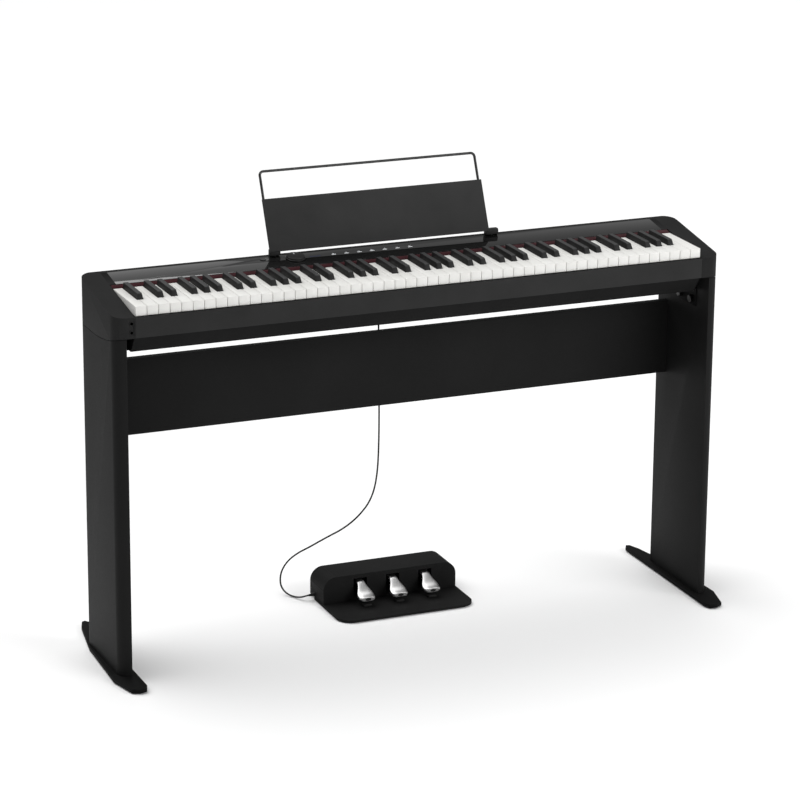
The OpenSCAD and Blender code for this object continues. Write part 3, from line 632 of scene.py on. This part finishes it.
def make_stand_screws():
    """Knurled thumb screws into the legs and round-headed screws up into the case."""
    low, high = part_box("bracket_right")
    leg_face = high.x
    y_mid = (low.y + high.y) / 2
    bm = bmesh.new()
    for side in (-1, 1):
        for y in (y_mid - SCREW_SPACING / 2, y_mid + SCREW_SPACING / 2):
            at = Vector((side * (leg_face - 10.5 * MM), y, high.z - 26 * MM))
            first = len(bm.verts)
            turned(bm, THUMB_SCREW, at, X_AXIS * side, 72)
            bm.verts.ensure_lookup_table()
            for v in bm.verts[first:]:
                arm = Vector((0, v.co.y - at.y, v.co.z - at.z))
                step = round(math.degrees(math.atan2(arm.z, arm.y)) / KNURL_DEGREES)
                if arm.length > KNURL_RADIUS and step % 2:
                    v.co -= arm * KNURL_DEPTH
            x = side * (leg_face - 34 * MM)
            turned(bm, CASE_SCREW, (x, y, high.z - 5.6 * MM), Z_AXIS, 40)
    close_piece("stand_screws_turned", bm, "stand_screws", ("stand_screws",), 30)


def make_jack_rings():
    """Raised collars round the headphone and rear sockets."""
    bm = bmesh.new()
    for mount in frame["record"]["mounts"]:
        if mount["kind"] != "bore":
            continue
        r = mount["dims"]["r_mm"]
        out = Vector(mount["axis"])
        mouth = Vector(mount["pos_m"]) + out * (mount["dims"]["length_mm"] * MM / 2)
        turned(bm, [
            (0, r + 0.3), (0.25, r + 0.35), (0.5, r + 0.8),
            (0.35, r + 1.25), (-0.2, r + 1.3), (-0.2, r + 0.3), (0, r + 0.3),
        ], mouth, out, 48)
    close_piece("socket_collars", bm, "rear_jacks")


# ---------------------------------------------------------------- pedals

LOFT_SIDES = 16
LOFT_SQUARENESS = 0.55  # one is an ellipse, nought a rectangle
PEDAL_ROWS = [  # y, half width, top, bottom in mm, from the eye to the tip
    (164, 8.8, 46.0, 33.0), (130, 8.9, 50.0, 41.5), (112, 9.0, 51.4, 43.7), (105, 9.3, 47.5, 39.0),
    (98, 10.8, 42.9, 33.5), (90, 15.6, 37.6, 27.4), (83, 19.0, 33.1, 22.0), (77, 19.0, 30.6, 18.8),
    (71, 18.6, 29.3, 18.6), (67.5, 17.0, 28.8, 18.6), (65.5, 14.8, 28.6, 18.7),
    (65.0, 14.0, 28.2, 19.0),
]
# a dark oval disc on each tip's face stands for shade and a dark reflection: painted shade
TIP_SHADE_DISC_SIZE = (6.4 * MM, 75 * MM, 3.2 * MM)  # the disc it scales is 0.02 thick
TIP_SHADE_DISC_PLACE = (64.7 * MM, 23.4 * MM)


def squared(value):
    return math.copysign(abs(value) ** LOFT_SQUARENESS, value)


def lofted(bm, stations):
    """Extrudes a rounded section through (y, x, half width, top, bottom) stations."""
    def place_ring(verts, station):
        y, x, half, top, bottom = station
        for k, v in enumerate(verts):
            a = FULL_TURN * (k + 0.5) / LOFT_SIDES
            v.co = Vector((
                x + half * squared(math.cos(a)), y,
                (top + bottom) / 2 + (top - bottom) / 2 * squared(math.sin(a)),
            ))
    ring = bmesh.ops.create_circle(bm, cap_ends=True, segments=LOFT_SIDES, radius=1.0)["verts"]
    face = ring[0].link_faces[0]
    place_ring(list(face.verts), stations[0])
    for station in stations[1:]:
        made = bmesh.ops.extrude_face_region(bm, geom=[face])["geom"]
        new_face = next(g for g in made if isinstance(g, bmesh.types.BMFace))
        if face.is_valid:
            bm.faces.remove(face)
        place_ring(list(new_face.verts), station)
        face = new_face
    return face


def make_pedal(node):
    """A cast pedal: an eye on the axle, a neck and a spoon with a blunt tip, its face carrying a dark oval disc as
    painted shade and reflection.
    """
    low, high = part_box(node)
    x = (low.x + high.x) / 2
    pivot = Vector(JOINTS[node + "_press"]["pos_m"])
    bm = bmesh.new()
    turned(bm, [(-9, 0), (-9, 8), (9, 8), (9, 0)], (x, pivot.y, pivot.z), X_AXIS, 40)
    tip = lofted(bm, [(y * MM, x, half * MM, t * MM, b * MM) for y, half, t, b in PEDAL_ROWS])
    bmesh.ops.inset_region(bm, faces=[tip], thickness=0.7 * MM)
    piece = close_piece(node + "_cast", bm, node, (node,), 60)
    swell = piece.modifiers.new("rounding", "SUBSURF")
    swell.levels = swell.render_levels = 1
    # painted shade and reflection: a dark oval disc on the tip's face, in the rubber finish
    bm = bmesh.new()
    turned(bm, [(0, 0), (0, 1.0), (0.02, 1.0), (0.02, 0)], (0, 0, 0), Y_AXIS, 40, unit=1)
    bmesh.ops.scale(bm, vec=TIP_SHADE_DISC_SIZE, verts=bm.verts)
    bmesh.ops.translate(bm, vec=(x, *TIP_SHADE_DISC_PLACE), verts=bm.verts)
    refinish(close_piece(node + "_tip_shade_disc", bm, node), "rubber_black")


# ---------------------------------------------------------------- floor and light

FLOOR_HALF = 40
FLOOR_DROP = 0.4 * MM  # keeps the floor clear of the pads' faces
WORLD_STRENGTH = 0.25


def add_lamp(name, kind, energy, at, towards, **more):
    data = bpy.data.lights.new(name, kind)
    data.energy = energy
    for key, value in more.items():
        setattr(data, key, value)
    light = bpy.data.objects.new(name, data)
    bpy.context.scene.collection.objects.link(light)
    light.location = at
    light.rotation_euler = (Vector(towards) - Vector(at)).to_track_quat("-Z", "Y").to_euler()
    return light


def set_stage():
    """Pale floor, even studio light and a strip light that shows in the gloss panel."""
    mesh = bpy.data.meshes.new("floor")
    bm = bmesh.new()
    bmesh.ops.create_grid(bm, x_segments=1, y_segments=1, size=FLOOR_HALF)
    bm.to_mesh(mesh)
    bm.free()
    floor = bpy.data.objects.new("floor", mesh)
    bpy.context.scene.collection.objects.link(floor)
    floor.location.z = -FLOOR_DROP
    pale = Finish("pale_floor", specular=0.0)
    pale.tint(pale.clouds(3.0, 2.0), (0.3, grey(0.93)), (0.7, grey(0.945)))
    pale.dull(pale.clouds(1.0, 2.0), 0.8, 0.9)
    mesh.materials.append(pale.material)

    world = bpy.data.worlds.new("studio")
    bpy.context.scene.world = world
    world.use_nodes = True
    sky = world.node_tree.nodes["Background"]
    sky.inputs["Color"].default_value = (1, 1, 1, 1)
    sky.inputs["Strength"].default_value = WORLD_STRENGTH

    add_lamp("overhead", "SUN", 2.75, (-1.0, 1.4, 4), (0, 0, 0), angle=math.radians(70))
    add_lamp(
        "front_softbox", "AREA", 125, (2.6, -3.8, 2.4), (0, 0, 0.5),
        shape="RECTANGLE", size=3.6, size_y=2.4,
    )
    glow = add_lamp(
        "panel_glow", "AREA", 1.3, (0.05, 1.75, 2.0), (0, 0, 0.8),
        shape="RECTANGLE", size=0.86, size_y=1.3,
    )
    glow.rotation_euler.rotate_axis("Z", math.radians(18))
    glow.visible_camera = False
    bpy.context.scene.view_settings.view_transform = "Standard"


# ---------------------------------------------------------------- the piano

EASED_NODES = {  # width of the eased edges in mm
    "cheek_left": 2.2, "cheek_right": 2.2, "front_rail": 0.8, "lower_case": 0.6, "top_shell": 1.2,
    "control_panel": 0.25, "rest_plate": 0.8, "rest_feet": 0.8, "leg_left": 1.2, "leg_right": 1.2,
    "foot_left": 1.2, "foot_right": 1.2, "rear_board": 0.7,
    "bracket_left": 0.5, "bracket_right": 0.5, "pedal_base": 1.4, "pedal_stops": 0.8,
    "foot_pads": 0.4, "base_pads": 0.3, "jack_plate": 0.4, "key_felt": 0.5, "stop_felt": 0.8,
    "status_lamp": 0.1, "pedal_hood": 1.5, "rest_wire": 0.4,
}

FINISHES = make_finishes()
set_camera()
lay_cord([make_cord_plug(), make_cord_gland()])

for name in ("keys_a", "keys_b", "keys_c", "keys_d", "keys_e", "keys_f", "keys_g"):
    make_white_keys(name)
for name in ("keys_a_sharp", "keys_c_sharp", "keys_d_sharp", "keys_f_sharp", "keys_g_sharp"):
    make_black_keys(name)

for name, width in EASED_NODES.items():
    eased(name, width * MM)

make_knob()
make_power_button()
make_touch_marks()
make_stand_screws()
make_jack_rings()
for name in ("pedal_soft", "pedal_middle", "pedal_damper"):
    make_pedal(name)

for name, node in frame["nodes"].items():
    node.data.materials.clear()
    node.data.materials.append(FINISHES[SLOTS[name]])

set_stage()
